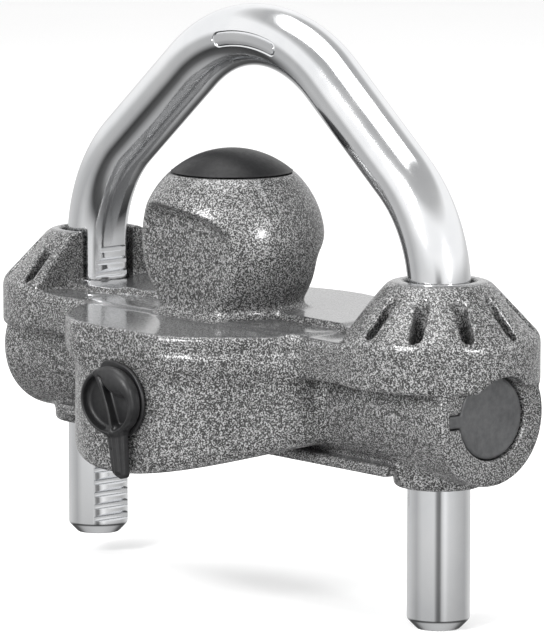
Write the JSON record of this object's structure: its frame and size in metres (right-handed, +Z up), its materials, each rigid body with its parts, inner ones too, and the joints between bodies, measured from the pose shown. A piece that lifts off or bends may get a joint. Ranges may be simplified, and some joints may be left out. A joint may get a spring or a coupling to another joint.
{
  "type": "trailer coupler lock",
  "caption": "Grey cast body with a ball that fills a trailer coupler's socket, and a round steel shackle that ratchets down over the coupler and is held by a key lock.",
  "frame": {"origin": "On the flat rear of the body's top plate, behind the ball and 22 mm behind the shackle legs' axes: the mount coupler_rest.", "axes": "+Z up, the way the shackle slides out. +X from the toothed leg towards the plain leg. -Y is the side with the key lock."},
  "size_m": [0.1854, 0.09, 0.1521],
  "materials": {
    "body_paint": "hammertone",
    "cap": "satin",
    "shackle_chrome": "polished",
    "plug": "satin",
    "steel": "satin",
    "spring": "satin",
    "brass": "satin",
    "zinc": "satin",
    "rubber": "matte"
  },
  "bodies": {
    "body": {"lock_body": "body_paint", "ball_cap": "cap", "end_plug": "plug", "spring_seat": "steel", "seat_snap_ring": "spring", "bolt_spring": "spring", "lock_housing": "brass", "housing_pin": "spring", "dust_cover_ring": "rubber"},
    "shackle_body": {"shackle": "shackle_chrome"},
    "bolt_body": {"ratchet_bolt": "steel"},
    "core_body": {"lock_plug": "brass", "plug_clip": "spring", "lock_cam": "zinc", "lock_wafer_1": "brass", "lock_wafer_2": "brass", "lock_wafer_3": "brass", "lock_wafer_4": "brass", "lock_wafer_5": "brass", "wafer_spring_1": "spring", "wafer_spring_2": "spring", "wafer_spring_3": "spring", "wafer_spring_4": "spring", "wafer_spring_5": "spring"},
    "cover_body": {"dust_cover": "rubber"}
  },
  "joints": [
    {"name": "shackle_slide", "type": "slide", "parent": "body", "child": "shackle_body", "axis": [0, 0, 1], "range_m": [0, 0.0759]},
    {"name": "key_turn", "type": "hinge", "parent": "body", "child": "core_body", "pos_m": [0.003, -0.052, -0.0196], "axis": [0, 1, 0], "range_deg": [0, 90]},
    {"name": "bolt_slide", "type": "slide", "parent": "body", "child": "bolt_body", "axis": [1, 0, 0], "range_m": [-0.0029, 0]},
    {"name": "cover_hinge", "type": "hinge", "parent": "body", "child": "cover_body", "pos_m": [0.003, -0.0739, -0.0109], "axis": [-1, 0, 0], "range_deg": [0, 120]}
  ],
  "couplings": [
    {"joint": "key_turn", "follows": "bolt_slide", "rad_per_m": -541.65}
  ]
}
